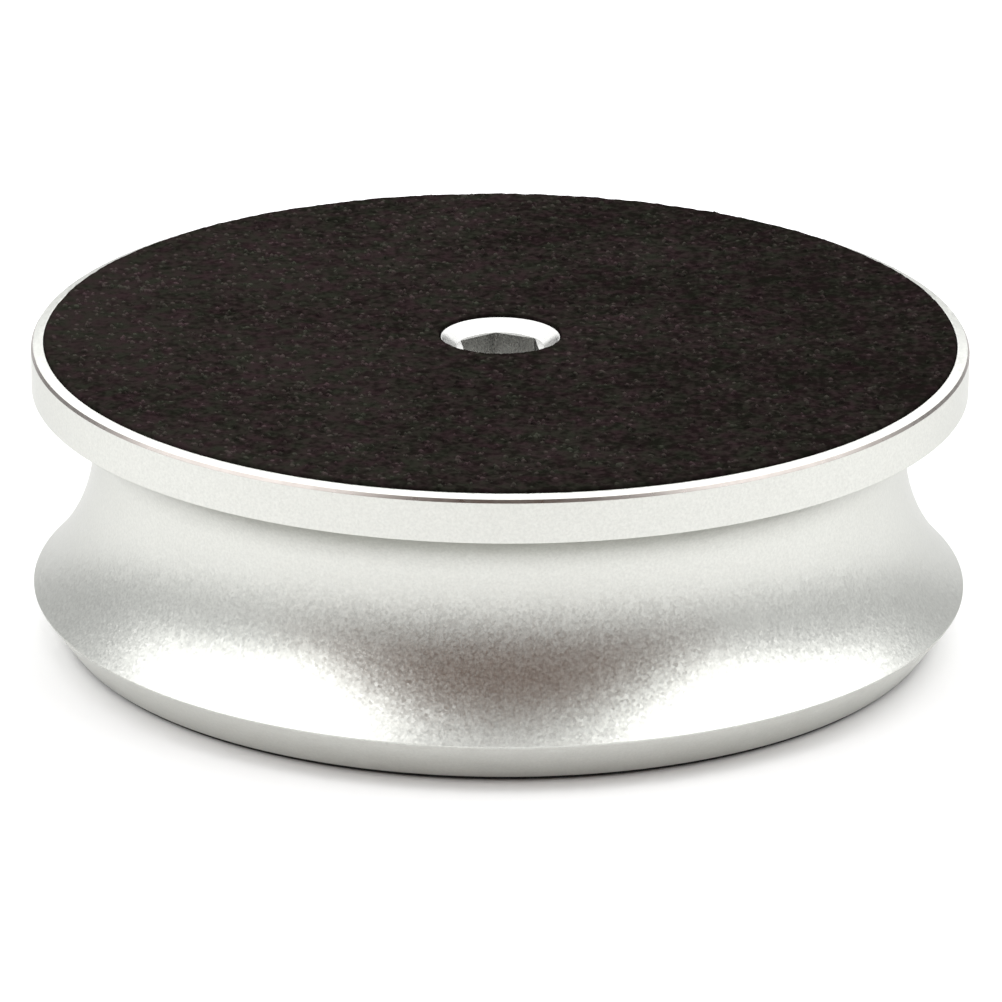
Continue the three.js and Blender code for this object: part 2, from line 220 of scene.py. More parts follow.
def cut(obj, cutters):
    """Cuts the cutters out of obj, and removes them."""
    for cutter in cutters:
        modifier = obj.modifiers.new("cut", "BOOLEAN")
        modifier.operation = "DIFFERENCE"
        modifier.solver = "EXACT"
        modifier.object = cutter
    graph = bpy.context.evaluated_depsgraph_get()
    mesh = bpy.data.meshes.new_from_object(obj.evaluated_get(graph))
    obj.modifiers.clear()
    obj.data = mesh
    smooth(mesh)
    for cutter in cutters:
        bpy.data.objects.remove(cutter)
    return obj


def moved(obj, x=0.0, y=0.0, z=0.0):
    """Shifts a mesh by millimetres, and leaves its object at the origin."""
    obj.data.transform(Matrix.Translation(Vector((x, y, z)) * MM))
    return obj


def hexagon(across_flats, angle, corner_turn=0.0, corner_rounding=0.015):
    """Distance from a hexagon's middle to its side at an angle, with slightly rounded corners."""
    sector = math.pi / 3
    from_flat = (angle - corner_turn) % sector - sector / 2
    side = across_flats / 2
    return min(side / math.cos(from_flat), side / math.cos(sector / 2) * (1 - corner_rounding))


def thread_radius(major, pitch, angle, z):
    """Radius of a V thread's surface: a crest follows a helix round the shank. Crest and root are flat
    for a small part of the pitch."""
    depth = 0.54 * pitch
    steepness, flat = 1.15, 0.075
    phase = (z / pitch - angle / TURN) % 1
    ramp = min(1, max(0, abs(2 * phase - 1) * steepness - flat))
    return major - depth * ramp


# ---- Materials -----------------------------------------------------------------------------------


class Shader:
    """A Principled material that is built node by node, in object coordinates in metres."""

    def __init__(self, name, **sockets):
        self.material = bpy.data.materials.new(name)
        self.material.use_nodes = True
        self.nodes = self.material.node_tree.nodes
        self.links = self.material.node_tree.links
        self.principled = self.nodes["Principled BSDF"]
        for socket, value in sockets.items():
            self.principled.inputs[socket.replace("_", " ")].default_value = value
        self.place = self.nodes.new("ShaderNodeTexCoord").outputs["Object"]

    def noise(self, feature_mm, detail=3.0, roughness=0.55):
        """Noise whose features are about feature_mm across."""
        node = self.nodes.new("ShaderNodeTexNoise")
        node.inputs["Scale"].default_value = 1 / (feature_mm * MM)
        node.inputs["Detail"].default_value = detail
        node.inputs["Roughness"].default_value = roughness
        self.links.new(self.place, node.inputs["Vector"])
        return node.outputs["Fac"]

    def facets(self, cell_mm, tilt):
        """Tips the surface at random, cell by cell, as the small flats that blasting leaves."""
        cells = self.nodes.new("ShaderNodeTexVoronoi")
        cells.inputs["Scale"].default_value = 1 / (cell_mm * MM)
        self.links.new(self.place, cells.inputs["Vector"])
        value = cells.outputs["Color"]
        surface = self.nodes.new("ShaderNodeNewGeometry").outputs["Normal"]
        steps = (("SUBTRACT", 0.5), ("MULTIPLY", tilt), ("ADD", surface), ("NORMALIZE", None))
        for operation, other in steps:
            node = self.nodes.new("ShaderNodeVectorMath")
            node.operation = operation
            self.links.new(value, node.inputs[0])
            if isinstance(other, float):
                node.inputs[1].default_value = (other, other, other)
            elif other:
                self.links.new(other, node.inputs[1])
            value = node.outputs["Vector"]
        self.links.new(value, self.principled.inputs["Normal"])

    def rings(self, pitch_mm):
        """Fine lathe marks round the Z axis."""
        waves_per_unit = 0.314  # at a scale of 1
        node = self.nodes.new("ShaderNodeTexWave")
        node.wave_type = "RINGS"
        node.rings_direction = "Z"
        node.inputs["Scale"].default_value = waves_per_unit / (pitch_mm * MM)
        node.inputs["Distortion"].default_value = 0.4
        self.links.new(self.place, node.inputs["Vector"])
        return node.outputs["Fac"]

    def spread(self, value, low, high, from_low=0.3, from_high=0.7):
        """Maps a value onto a range. Noise keeps mostly between the two values it starts from."""
        node = self.nodes.new("ShaderNodeMapRange")
        self.links.new(value, node.inputs["Value"])
        node.inputs["From Min"].default_value = from_low
        node.inputs["From Max"].default_value = from_high
        node.inputs["To Min"].default_value = low
        node.inputs["To Max"].default_value = high
        return node.outputs["Result"]

    def total(self, *values):
        """The sum of two or more values."""
        result = values[0]
        for value in values[1:]:
            node = self.nodes.new("ShaderNodeMath")
            node.operation = "ADD"
            self.links.new(result, node.inputs[0])
            self.links.new(value, node.inputs[1])
            result = node.outputs["Value"]
        return result

    def blend(self, value, low_color, high_color):
        """A colour between two, in shares given by the value."""
        node = self.nodes.new("ShaderNodeMix")
        node.data_type = "RGBA"
        self.links.new(value, node.inputs["Factor"])
        node.inputs["A"].default_value = (*low_color, 1)
        node.inputs["B"].default_value = (*high_color, 1)
        return node.outputs["Result"]

    def multiply(self, a, b):
        """The product of two colours."""
        node = self.nodes.new("ShaderNodeMix")
        node.data_type = "RGBA"
        node.blend_type = "MULTIPLY"
        node.inputs["Factor"].default_value = 1
        self.links.new(a, node.inputs["A"])
        self.links.new(b, node.inputs["B"])
        return node.outputs["Result"]

    def color(self, value, low_color, high_color):
        self.links.new(self.blend(value, low_color, high_color), self.principled.inputs["Base Color"])

    def rough(self, value):
        self.links.new(value, self.principled.inputs["Roughness"])

    def bump(self, height, depth_mm, strength=1.0):
        node = self.nodes.new("ShaderNodeBump")
        node.inputs["Distance"].default_value = depth_mm * MM
        node.inputs["Strength"].default_value = strength
        self.links.new(height, node.inputs["Height"])
        self.links.new(node.outputs["Normal"], self.principled.inputs["Normal"])


EDGE_TINT = (0.75, 0.75, 0.75, 1)  # keeps the metals from brightening where they turn away


def satin_aluminium(name, dark, light):
    """Bead-blasted, clear anodised: an even satin with a fine sparkling grain."""
    shader = Shader(name, Metallic=1.0, Specular_Tint=EDGE_TINT)
    grain = shader.noise(0.3, detail=2, roughness=0.65)
    shader.color(shader.spread(grain, 0, 1), dark, light)
    smudges = shader.spread(shader.noise(14, detail=2), -0.012, 0.012)
    shader.rough(shader.total(shader.spread(grain, 0.31, 0.41), smudges))
    shader.facets(0.3, 0.06)
    return shader.material


def polished_aluminium():
    """The diamond-cut bevel on the rim."""
    shader = Shader("polished_aluminium", Metallic=1.0, Specular_Tint=EDGE_TINT)
    shader.color(shader.spread(shader.noise(3), 0, 1), (0.33, 0.30, 0.28), (0.38, 0.35, 0.33))
    shader.rough(shader.spread(shader.noise(0.8), 0.26, 0.34))
    shader.bump(shader.noise(1.6, detail=2), 0.002)
    return shader.material


def machined_aluminium():
    """Turned, with faint tool marks round the axis."""
    shader = Shader("machined_aluminium", Metallic=1.0, Specular_Tint=EDGE_TINT)
    shader.color(shader.spread(shader.noise(4), 0, 1), (0.52, 0.52, 0.505), (0.56, 0.56, 0.545))
    shader.rough(shader.spread(shader.noise(0.6), 0.2, 0.3))
    shader.bump(shader.rings(0.14), 0.003)
    return shader.material


def metal(name, dark, light, rough, feature_mm, depth_mm, ring_pitch_mm=None):
    """A steel: its colour and roughness drift a little, over a fine grain or lathe marks."""
    shader = Shader(name, Metallic=1.0)
    shader.color(shader.spread(shader.noise(feature_mm * 12), 0, 1), dark, light)
    grain = shader.noise(feature_mm)
    shader.rough(shader.spread(grain, rough - 0.04, rough + 0.06))
    shader.bump(shader.rings(ring_pitch_mm) if ring_pitch_mm else grain, depth_mm)
    return shader.material


def suede(name, gaps, tips):
    """Near-black flocked nap: fine blotches over wider clouds, with painted light that makes it a little
    lighter towards -X, and with faint drifts of warmer and cooler dye."""
    shader = Shader(name, Roughness=1.0)
    shader.principled.inputs["Specular IOR Level"].default_value = 0.0
    blotches = shader.spread(shader.noise(0.8, detail=1.5), 0, 1, 0.34, 0.66)
    clouds = shader.spread(shader.noise(12, detail=4, roughness=0.6), -0.3, 0.3)
    across = shader.nodes.new("ShaderNodeSeparateXYZ")
    shader.links.new(shader.place, across.inputs["Vector"])
    # Painted light: the nap's colour is made lighter towards -X, the side of the stronger left softbox.
    painted_light_side = shader.spread(across.outputs["X"], 0.35, -0.3, -PAD_RADIUS * MM, PAD_RADIUS * MM)
    dye = shader.blend(shader.total(clouds, painted_light_side, blotches), gaps, tips)
    drift = shader.spread(shader.noise(2.2, detail=1), 0, 1)
    tint = shader.blend(drift, (1.19, 0.885, 1.06), (0.885, 1.06, 0.885))
    shader.links.new(shader.multiply(dye, tint), shader.principled.inputs["Base Color"])
    shader.bump(shader.noise(0.3, detail=3, roughness=0.7), 0.03, 0.5)
    return shader.material


def soft_black():
    """The base pad's fine-textured rubber."""
    shader = Shader("foot_rubber")
    shader.color(shader.spread(shader.noise(2.4), 0, 1), (0.012, 0.012, 0.012), (0.024, 0.024, 0.023))
    grain = shader.noise(0.35, detail=4)
    shader.rough(shader.spread(grain, 0.72, 0.9))
    shader.bump(grain, 0.05)
    return shader.material


def plastic(name, dark, light, rough, feature_mm, depth_mm):
    """A plain material: its colour and roughness drift a little, over a fine grain."""
    shader = Shader(name)
    shader.color(shader.spread(shader.noise(feature_mm * 8), 0, 1), dark, light)
    grain = shader.noise(feature_mm)
    shader.rough(shader.spread(grain, rough - 0.06, rough + 0.06))
    shader.bump(grain, depth_mm)
    return shader.material


SATIN = satin_aluminium("satin_aluminium", (0.55, 0.555, 0.526), (0.645, 0.65, 0.616))
# A lighter copy of the satin for the base's lower bevel: painted light that lifts the floor shade it
# reflects.
PAINTED_LIGHT_SATIN = satin_aluminium("satin_aluminium_painted_light", (0.73, 0.735, 0.7), (0.79, 0.795, 0.76))
POLISHED = polished_aluminium()
MACHINED = machined_aluminium()
SUEDE = suede("suede", (0.0069, 0.0058, 0.0051), (0.0168, 0.0146, 0.0129))
# The tufts' suede is lighter than the nap: partly the fibre ends' own colour, partly painted light on the
# raised tips.
FIBRE_TIPS_PAINTED_LIGHT = suede("suede_fibre_tips_painted_light", (0.011, 0.0095, 0.0085), (0.042, 0.0375, 0.034))
FOOT_RUBBER = soft_black()
RACE_STEEL = metal("bearing_steel", (0.52, 0.53, 0.55), (0.6, 0.61, 0.63), 0.14, 0.5, 0.002, 0.12)
SHIELD_STEEL = metal("shield_steel", (0.5, 0.51, 0.52), (0.6, 0.61, 0.62), 0.3, 0.4, 0.004)
ZINC_STEEL = metal("zinc_steel", (0.5, 0.52, 0.55), (0.62, 0.63, 0.62), 0.34, 0.45, 0.01)
BLACK_STEEL = metal("black_steel", (0.03, 0.03, 0.034), (0.06, 0.06, 0.063), 0.42, 0.35, 0.01)
CAGE_NYLON = plastic("cage_nylon", (0.62, 0.56, 0.41), (0.74, 0.68, 0.52), 0.45, 0.5, 0.01)
ADHESIVE = plastic("adhesive_film", (0.55, 0.51, 0.4), (0.66, 0.62, 0.5), 0.5, 1.2, 0.02)


def paint(obj, *materials):
    """Gives a piece its materials in place of any it has. Its faces all get the first."""
    obj.data.materials.clear()
    for material in materials:
        obj.data.materials.append(material)
    return obj


def place(obj, body, slot, *nodes):
    """The piece rides on its body and stands for its CAD nodes."""
    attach(obj, body)
    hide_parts(*nodes)
    return obj


# ---- Platter and what turns with it --------------------------------------------------------------


def make_platter():
    """A disc with a recess for the pad, a stepped bore for the screw, and a hub with a spigot below."""
    recess = PAD_RADIUS + SLIP
    recess_floor = bottom_of("pad_adhesive")
    shoulder_bottom = top_of("bearing_inner_ring")
    outline = rounded(
        [
            (PLATTER_BORE, bottom_of("platter"), 0.2),
            (SPIGOT, bottom_of("platter"), 0.4),
            (SPIGOT, shoulder_bottom),
            (HUB_SHOULDER, shoulder_bottom, 0.15),
            (HUB_SHOULDER, PLATTER_UNDERSIDE),
            (RADIUS, PLATTER_UNDERSIDE, 0.1),
            (RADIUS, METAL_TOP - RIM_FALL - BEVEL_DEPTH, 0.04),
            (RADIUS - BEVEL_WIDTH, METAL_TOP - RIM_FALL, 0.04),
            (recess, METAL_TOP, 0.08),
            (recess, recess_floor),
            (SCREW_HEAD + SLIP, recess_floor, 0.1),
            (SCREW_HEAD + SLIP, HEAD_BOTTOM),
            (PLATTER_BORE, HEAD_BOTTOM, 0.1),
        ]
    )
    obj = paint(turned("platter_disc", outline), SATIN, POLISHED)
    for polygon in obj.data.polygons:
        slanted = 0.3 < polygon.normal.z < 0.9
        at_rim = polygon.center.xy.length > (RADIUS - 1) * MM
        near_top = polygon.center.z > (METAL_TOP - 1) * MM
        polygon.material_index = int(slanted and at_rim and near_top)
    return place(obj, "platter", "satin_aluminium", "platter")


def nap_drop(spot):
    """How far the nap at a spot in mm stands below its highest places."""
    lump_share, clump_share, typical_drop = 0.7, 0.35, 0.55
    lumps = lump_share * noise.noise(spot / NAP_LUMP) + clump_share * noise.noise(spot / NAP_CLUMP)
    return NAP_DEPTH * min(1, max(0, typical_drop - lumps))


def add_tufts(mesh, low, high):
    """Small fibre tips, scattered evenly over the nap. Each is a low dome of a second, lighter material,
    from its foot inside the nap to a little above or below the nap's highest places. The lighter colour is
    partly the fibre ends' own and partly painted light on the raised tips."""
    draw = random.Random(5)
    least_reach, greatest_reach = PAD_HOLE + 0.4, PAD_RADIUS - 0.5
    shoulder_width, shoulder_height = 0.8, 0.65  # shares of the foot's width and the tuft's height
    turns = [TURN * side / TUFT_SIDES for side in range(TUFT_SIDES)]
    bm = bmesh.new()
    bm.from_mesh(mesh)
    for _ in range(TUFT_COUNT):
        reach = math.sqrt(draw.uniform(least_reach ** 2, greatest_reach ** 2))
        bearing = draw.uniform(0, TURN)
        x, y = reach * math.cos(bearing), reach * math.sin(bearing)
        width = draw.uniform(*TUFT_WIDTH)
        tip = high + draw.uniform(*TUFT_RISE)
        shoulder = (1 - shoulder_height) * low + shoulder_height * tip
        rings = []
        for radius, z in ((width, low), (shoulder_width * width, shoulder)):
            points = [(x + radius * math.cos(t), y + radius * math.sin(t), z) for t in turns]
            rings.append([bm.verts.new(Vector(point) * MM) for point in points])
        foot, neck = rings
        top = bm.verts.new(Vector((x, y, tip)) * MM)
        for side in range(TUFT_SIDES):
            following = (side + 1) % TUFT_SIDES
            wall = bm.faces.new((foot[side], foot[following], neck[following], neck[side]))
            cap = bm.faces.new((neck[side], neck[following], top))
            for face in (wall, cap):
                face.material_index = 1
                face.smooth = True
        bm.faces.new(reversed(foot)).material_index = 1
    bm.to_mesh(mesh)
    bm.free()


def make_pad():
    """Its nap is uneven, and shorter at both edges, where it turns over softly."""
    low, high = bottom_of("pad"), top_of("pad")
    nap_bottom = METAL_TOP + 0.05
    edge_share = 0.3  # of the nap's depth, at its edges
    edge_run = 1.5  # distance inwards over which that share would grow by 1
    tuft_foot = high - 1.2 * NAP_DEPTH
    outline = rounded(
        [
            (PAD_HOLE, low),
            (PAD_RADIUS, low),
            (PAD_RADIUS, high, PAD_ROUNDING),
            (PAD_HOLE, high, PAD_HOLE_ROUNDING),
        ]
    )
    obj = turned("suede_pad", divided(outline, NAP_SPACING, METAL_TOP), NAP_SEGMENTS)
    paint(obj, SUEDE, FIBRE_TIPS_PAINTED_LIGHT)
    drops = []
    for vertex in obj.data.vertices:
        spot = vertex.co / MM
        inset = min(spot.xy.length - PAD_HOLE, PAD_RADIUS - spot.xy.length)
        share = min(1, edge_share + inset / edge_run) if spot.z > nap_bottom else 0
        drops.append(vertex.normal * (nap_drop(spot) * share * MM))
    for vertex, drop in zip(obj.data.vertices, drops):
        vertex.co -= drop
    add_tufts(obj.data, tuft_foot, high)
    return place(obj, "platter", "suede", "pad")


def make_film(name, inner, outer, node, body):
    """An adhesive film, between a pad and its recess."""
    low, high = bottom_of(node), top_of(node)
    outline = rounded([(inner, low), (outer, low, 0.05), (outer, high, 0.05), (inner, high)])
    return place(paint(turned(name, outline), ADHESIVE), body, "adhesive_film", node)


def make_pivot_screw():
    """A dished head with a broached hexagon socket, over a threaded shank."""
    low = bottom_of("pivot_screw")
    shank, pitch, lead = 5, 1.5, 0.8
    thread_top, thread_rows = 16.5, 54
    socket_width, socket_depth, drill_point = 8, 6.1, 1
    dish_steps = 6
    lip_width, lip_drop = 0.08, 0.03  # where the dish's edge turns over
    lip = Vector((DISH_OUTER - lip_width, HEAD_TOP - lip_drop))
    dish_bottom = HEAD_TOP - DISH_DEPTH
    socket_bottom = HEAD_TOP - socket_depth
    head = rounded(
        [
            (shank, HEAD_BOTTOM),
            (SCREW_HEAD, HEAD_BOTTOM, 0.2),
            (SCREW_HEAD, HEAD_TOP, 0.1),
            (DISH_OUTER, HEAD_TOP),
        ]
    )

    def thread(angle):
        """The thread starts on a chamfered end and runs out below the head."""
        first_row, run_out, chamfer_slope = low + 0.05, thread_top + 0.4, 0.9
        points = []
        for row in range(thread_rows + 1):
            z = first_row + (thread_top - low) * row / thread_rows
            fade = max(0, min(1, (z - low) / lead, (run_out - z) / lead))
            depth = shank - thread_radius(shank, pitch, angle, z)
            chamfer = max(0, lead - (z - low)) * chamfer_slope
            points.append((shank - depth * fade - chamfer, z))
        return points

    def dish(side):
        """A cone down to a circle, or to the hexagon's sides where they stand outside that circle."""
        meet = max(side, DISH_INNER)
        climb = DISH_DEPTH * (meet - DISH_INNER) / (DISH_OUTER - DISH_INNER)
        end = Vector((meet, dish_bottom + climb))
        points = [lip.lerp(end, step / dish_steps) for step in range(dish_steps + 1)]
        return points + [(side, end.y), (side, end.y - 0.1)]

    def outline(angle):
        side = hexagon(socket_width, angle, SOCKET_TURN)
        floor = [(side, socket_bottom + 0.4), (side - 0.2, socket_bottom), (0, socket_bottom - drill_point)]
        end = [(0, low), (shank - lead, low)]
        return [*end, *thread(angle), (shank, thread_top + 0.6), *head, *dish(side), *floor]

    obj = paint(turned("dished_pivot_screw", outline, HEAD_SEGMENTS, SOCKET_TURN), MACHINED)
    return place(obj, "platter", "machined_aluminium", "pivot_screw")


def make_inner_ring():
    bore, land = 10, 11.7
    half = math.degrees(math.acos((PITCH_RADIUS - land) / GROOVE_RADIUS))
    middle = (PITCH_RADIUS, BEARING_MIDDLE)
    outline = rounded(
        [
            (bore, BEARING_BOTTOM, 0.35),
            (land, BEARING_BOTTOM, 0.1),
            *arc(middle, GROOVE_RADIUS, 180 + half, 180 - half, GROOVE_STEPS),
            (land, BEARING_TOP, 0.1),
            (bore, BEARING_TOP, 0.35),
        ]
    )
    obj = paint(turned("inner_race", outline, RING_SEGMENTS), RACE_STEEL)
    return place(obj, "platter", "bearing_steel", "bearing_inner_ring")


def make_clamp_washer():
    low, high = bottom_of("clamp_washer"), top_of("clamp_washer")
    inner, outer = 5.2, radius_of("clamp_washer")
    outline = rounded([(inner, low, 0.1), (outer, low, 0.3), (outer, high, 0.15), (inner, high, 0.1)])
    obj = paint(turned("plain_washer", outline, WASHER_SEGMENTS), ZINC_STEEL)
    return place(obj, "platter", "zinc_steel", "clamp_washer")


def make_spring_washer():
    """One turn of square wire, parted by a slanting cut."""
    low, high = bottom_of("spring_washer"), top_of("spring_washer")
    section = ring_section(5.3, 8.8, low, high, 0.12)
    half_split = math.radians(3.5)
    slant_per_mm = math.radians(5)
    steps = 90
    columns = []
    for step in range(steps + 1):
        along = half_split + (TURN - 2 * half_split) * (step / steps)
        column = []
        for r, z in section:
            angle = along + slant_per_mm * (z - (low + high) / 2)
            column.append((r * math.cos(angle), r * math.sin(angle), z))
        columns.append(column)
    obj = new_object("split_washer", grid_mesh("split_washer", columns, wraps=False, capped=True))
    return place(paint(obj, ZINC_STEEL), "platter", "zinc_steel", "spring_washer")


def make_lock_nut():
    """Its corners are chamfered at both ends, and so is its bore."""
    low, high = bottom_of("lock_nut"), top_of("lock_nut")
    across_flats, bore, bore_chamfer = 16, 5.05, 0.5
    mouth = bore + bore_chamfer
    face = across_flats / 2 - 0.2
    slope = math.tan(math.radians(30))

    def outline(angle):
        side = hexagon(across_flats, angle)
        drop = max(0, side - face) * slope
        lower = [(bore, low + bore_chamfer), (mouth, low), (face, low), (side, low + drop)]
        upper = [(side, high - drop), (face, high), (mouth, high), (bore, high - bore_chamfer)]
        return lower + upper

    obj = paint(turned("hexagon_nut", outline, RING_SEGMENTS), ZINC_STEEL)
    return place(obj, "platter", "zinc_steel", "lock_nut")


# ---- Ball cage -----------------------------------------------------------------------------------


def ball_spots():
    """The balls' middles, in mm."""
    angles = [TURN * index / BALL_COUNT for index in range(BALL_COUNT)]
    return [(PITCH_RADIUS * math.cos(a), PITCH_RADIUS * math.sin(a), BEARING_MIDDLE) for a in angles]


def make_ball(name):
    mesh = bpy.data.meshes.new(name)
    bm = bmesh.new()
    bmesh.ops.create_icosphere(bm, subdivisions=4, radius=BALL_RADIUS * MM)
    bm.to_mesh(mesh)
    bm.free()
    mesh.shade_smooth()
    return new_object(name, mesh)


def make_cage():
    """A ring with a round pocket for each ball."""
    low, high = bottom_of("bearing_cage"), top_of("bearing_cage")
    half_width, pocket_radius = 0.65, 1.9
    section = ring_section(PITCH_RADIUS - half_width, PITCH_RADIUS + half_width, low, high, 0.12)
    obj = turned("ball_cage_ring", section, RING_SEGMENTS)
    pockets = []
    for index, spot in enumerate(ball_spots()):
        pocket = make_ball(f"pocket_{index}")
        pocket.data.transform(Matrix.Scale(pocket_radius / BALL_RADIUS, 4))
        pockets.append(moved(pocket, *spot))
    return place(paint(cut(obj, pockets), CAGE_NYLON), "ball_cage", "cage_nylon", "bearing_cage")


def make_balls():
    for number, spot in enumerate(ball_spots(), 1):
        ball = moved(make_ball(f"steel_ball_{number}"), *spot)
        place(paint(ball, RACE_STEEL), "ball_cage", "bearing_steel", f"bearing_ball_{number}")


# ---- Base and what stays still -------------------------------------------------------------------


def screw_places():
    """Where the cover screws stand, from the frame, in mm."""
    places = []
    for number in range(1, COVER_SCREW_COUNT + 1):
        low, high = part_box(f"cover_screw_{number}")
        places.append(((low.x + high.x) / 2 / MM, (low.y + high.y) / 2 / MM))
    return places


def waist_outline():
    """From the sharp lower edge up to the narrowest place, and out again on the tighter arc."""
    middle, height = WAIST_CENTRE
    lower_angle = 180 + math.degrees(math.acos((middle - RADIUS) / WAIST_RADIUS))
    upper_angle = 180 - math.degrees(math.asin((BASE_TOP - BASE_CHAMFER - height) / NECK_RADIUS))
    neck_centre = (middle - WAIST_RADIUS + NECK_RADIUS, height)
    below = arc(WAIST_CENTRE, WAIST_RADIUS, lower_angle, 180, 56)
    above = arc(neck_centre, NECK_RADIUS, 180, upper_angle, 24)
    return below + above[1:]


def make_base_body():
    """The waisted body. From the top it has the bearing's seat, the retaining ring's groove and the
    well, and from below the recesses for the cover and the pad."""
    well, seat, ring_groove = 14, 16.02, 16.9
    groove_top = BEARING_TOP + 1.3
    cover_floor = top_of("bottom_cover")
    pad_floor = bottom_of("bottom_cover")
    metal_bottom = bottom_of("base_body")
    bottom_radius = 46.7
    edge_thickness = 0.16
    cover_recess = radius_of("bottom_cover") + SLIP
    pad_recess = radius_of("base_pad") + SLIP
    waist = waist_outline()
    edge_height = waist[0][1]
    outline = rounded(
        [
            (well, cover_floor, 0.15),
            (cover_recess, cover_floor),
            (cover_recess, pad_floor, 0.1),
            (pad_recess, pad_floor),
            (pad_recess, metal_bottom, 0.1),
            (bottom_radius, metal_bottom, 0.12),
            (RADIUS, edge_height - edge_thickness),
            *waist,
            (waist[-1][0] - BASE_CHAMFER, BASE_TOP),
            (seat, BASE_TOP, 0.25),
            (seat, groove_top),
            (ring_groove, groove_top),
            (ring_groove, BEARING_TOP),
            (seat, BEARING_TOP),
            (seat, BEARING_BOTTOM),
            (well, BEARING_BOTTOM, 0.2),
        ]
    )
    obj = turned("waisted_base", outline)
    tap_radius, tap_top, tap_point = 1.6, 9.5, 10.4
    tap_bottom = cover_floor - 1
    tap = [(0, tap_bottom), (tap_radius, tap_bottom), (tap_radius, tap_top), (0, tap_point)]
    holes = []
    for index, (x, y) in enumerate(screw_places()):
        holes.append(moved(turned(f"tapped_{index}", tap, SCREW_SEGMENTS), x, y))
    paint(cut(obj, holes), SATIN, PAINTED_LIGHT_SATIN)
    # Faces turned down below the sharp edge, outside the pad, take the lighter satin: painted light on the
    # lower bevel.
    for polygon in obj.data.polygons:
        faces_down = polygon.normal.z < -0.2
        outside_pad = polygon.center.xy.length > (bottom_radius - 0.1) * MM
        below_edge = polygon.center.z < edge_height * MM
        polygon.material_index = int(faces_down and outside_pad and below_edge)
    return place(obj, "base", "satin_aluminium", "base_body")


def make_outer_ring():
    land, shield_seat, step_depth = 14.3, 14.7, 0.8
    outside = radius_of("bearing_outer_ring")
    half = math.degrees(math.acos((land - PITCH_RADIUS) / GROOVE_RADIUS))
    middle = (PITCH_RADIUS, BEARING_MIDDLE)
    outline = rounded(
        [
            (shield_seat, BEARING_BOTTOM, 0.1),
            (outside, BEARING_BOTTOM, 0.35),
            (outside, BEARING_TOP, 0.35),
            (shield_seat, BEARING_TOP, 0.1),
            (shield_seat, BEARING_TOP - step_depth),
            (land, BEARING_TOP - step_depth, 0.1),
            *arc(middle, GROOVE_RADIUS, half, -half, GROOVE_STEPS),
            (land, BEARING_BOTTOM + step_depth, 0.1),
            (shield_seat, BEARING_BOTTOM + step_depth),
        ]
    )
    obj = paint(turned("outer_race", outline, RING_SEGMENTS), RACE_STEEL)
    return place(obj, "base", "bearing_steel", "bearing_outer_ring")


def make_shield(name, node):
    section = ring_section(11.95, 14.65, bottom_of(node), top_of(node), 0.08)
    obj = paint(turned(name, section, RING_SEGMENTS), SHIELD_STEEL)
    return place(obj, "base", "shield_steel", node)


def make_retaining_ring():
    """An open snap ring with a holed lug at each end, stamped from sheet. Its outlines stand in from its
    sides by the width of the rounded edge."""
    low, high = bottom_of("retaining_ring"), top_of("retaining_ring")
    outer, inner, lug = 16.85, 13.9, 12
    hole_circle, hole_radius, hole_steps = 13.8, 0.9, 32
    start, lug_angle = 22, 13
    end = 360 - start
    edge = 0.08
    centre = (0, 0)
    outlines = [
        arc(centre, outer - edge, start, end, 120)
        + arc(centre, lug + edge, end, end - lug_angle, 8)
        + arc(centre, inner + edge, end - lug_angle, start + lug_angle, 100)
        + arc(centre, lug + edge, start + lug_angle, start, 8)
    ]
    for angle in (start + lug_angle / 2, end - lug_angle / 2):
        turn = math.radians(angle)
        hole_centre = (hole_circle * math.cos(turn), hole_circle * math.sin(turn))
        outlines.append(arc(hole_centre, hole_radius + edge, 0, 360, hole_steps)[:-1])
    curve = bpy.data.curves.new("snap_ring", "CURVE")
    curve.dimensions = "2D"
    curve.fill_mode = "BOTH"
    curve.extrude = ((high - low) / 2 - edge) * MM
    curve.bevel_depth = edge * MM
    curve.bevel_resolution = 2
    for outline in outlines:
        spline = curve.splines.new("POLY")
        spline.points.add(len(outline) - 1)
        for point, (x, y) in zip(spline.points, outline):
            point.co = (x * MM, y * MM, 0, 1)
        spline.use_cyclic_u = True
    source = new_object("snap_ring_curve", curve)
    graph = bpy.context.evaluated_depsgraph_get()
    mesh = bpy.data.meshes.new_from_object(source.evaluated_get(graph))
    bpy.data.objects.remove(source)
    obj = moved(new_object("snap_ring", mesh), z=(low + high) / 2)
    smooth(mesh)
    return place(paint(obj, BLACK_STEEL), "base", "black_steel", "retaining_ring")


def make_bottom_cover():
    """A disc with a countersunk hole for each cover screw."""
    low, high = bottom_of("bottom_cover"), top_of("bottom_cover")
    outer = radius_of("bottom_cover")
    disc = rounded([(0, low), (outer, low, 0.25), (outer, high, 0.15), (0, high)])
    obj = turned("cover_plate", disc, RING_SEGMENTS)
    mouth, hole = 2.95, 1.65
    countersink = [
        (0, low - 1),
        (mouth, low - 1),
        (mouth, low),
        (hole, low + mouth - hole),
        (hole, high + 1),
        (0, high + 1),
    ]
    holes = []
    for index, (x, y) in enumerate(screw_places()):
        holes.append(moved(turned(f"countersink_{index}", countersink, SCREW_SEGMENTS), x, y))
    return place(paint(cut(obj, holes), MACHINED), "base", "machined_aluminium", "bottom_cover")


